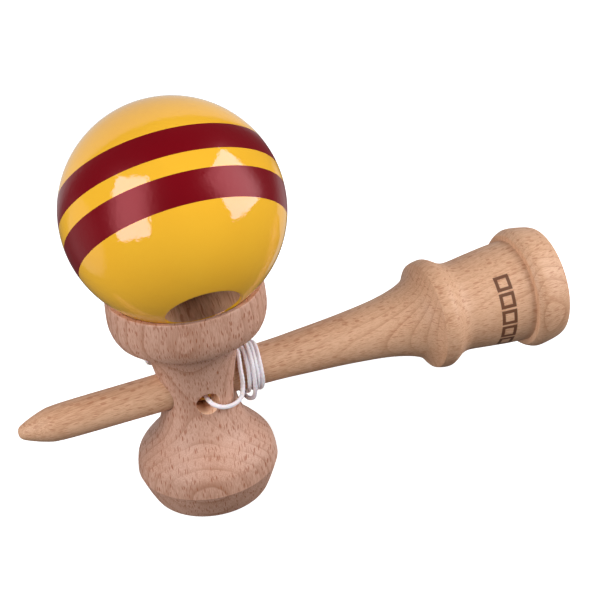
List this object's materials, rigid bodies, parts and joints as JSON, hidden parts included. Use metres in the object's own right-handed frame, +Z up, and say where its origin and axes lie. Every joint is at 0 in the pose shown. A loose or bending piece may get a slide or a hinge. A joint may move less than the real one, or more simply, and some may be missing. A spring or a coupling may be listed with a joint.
{
  "type": "kendama",
  "caption": "Wooden kendama: a spiked handle with a base cup, a crosspiece with a big and a small cup, and a striped ball with a spike hole on a white string.",
  "frame": {"origin": "centre of the bottom of the toy's box, on the surface its small cup stands on", "axes": "+X along the handle towards the base cup, +Z up through the crosspiece towards the big cup and the ball"},
  "size_m": [0.1608, 0.0607, 0.118],
  "materials": {
    "ken_wood": "bare sanded beech",
    "sarado_wood": "bare sanded beech",
    "ball_paint": "gloss lacquer on beech",
    "brass": "polished",
    "bead": "satin",
    "string": "woven nylon"
  },
  "bodies": {
    "root": {"ken": "ken_wood", "sarado": "sarado_wood", "string_eyelet": "brass", "string_knot_ken": "string", "string_lead": "string", "string_wraps": "string", "string_tail": "string"},
    "tama": {"tama": "ball_paint"},
    "string_end": {"string_bead": "bead", "string_inner": "string", "string_knot_bead": "string"}
  },
  "joints": [
    {"name": "ball_lift", "type": "slide", "parent": "root", "child": "tama", "axis": [0, 0, 1], "range_m": [0, 0.025], "deforming": ["string_tail"]},
    {"name": "bead_swivel", "type": "hinge", "parent": "tama", "child": "string_end", "pos_m": [-0.0292, 0, 0.08801], "axis": [0.0431, 0.7477, 0.6626], "continuous": true}
  ]
}
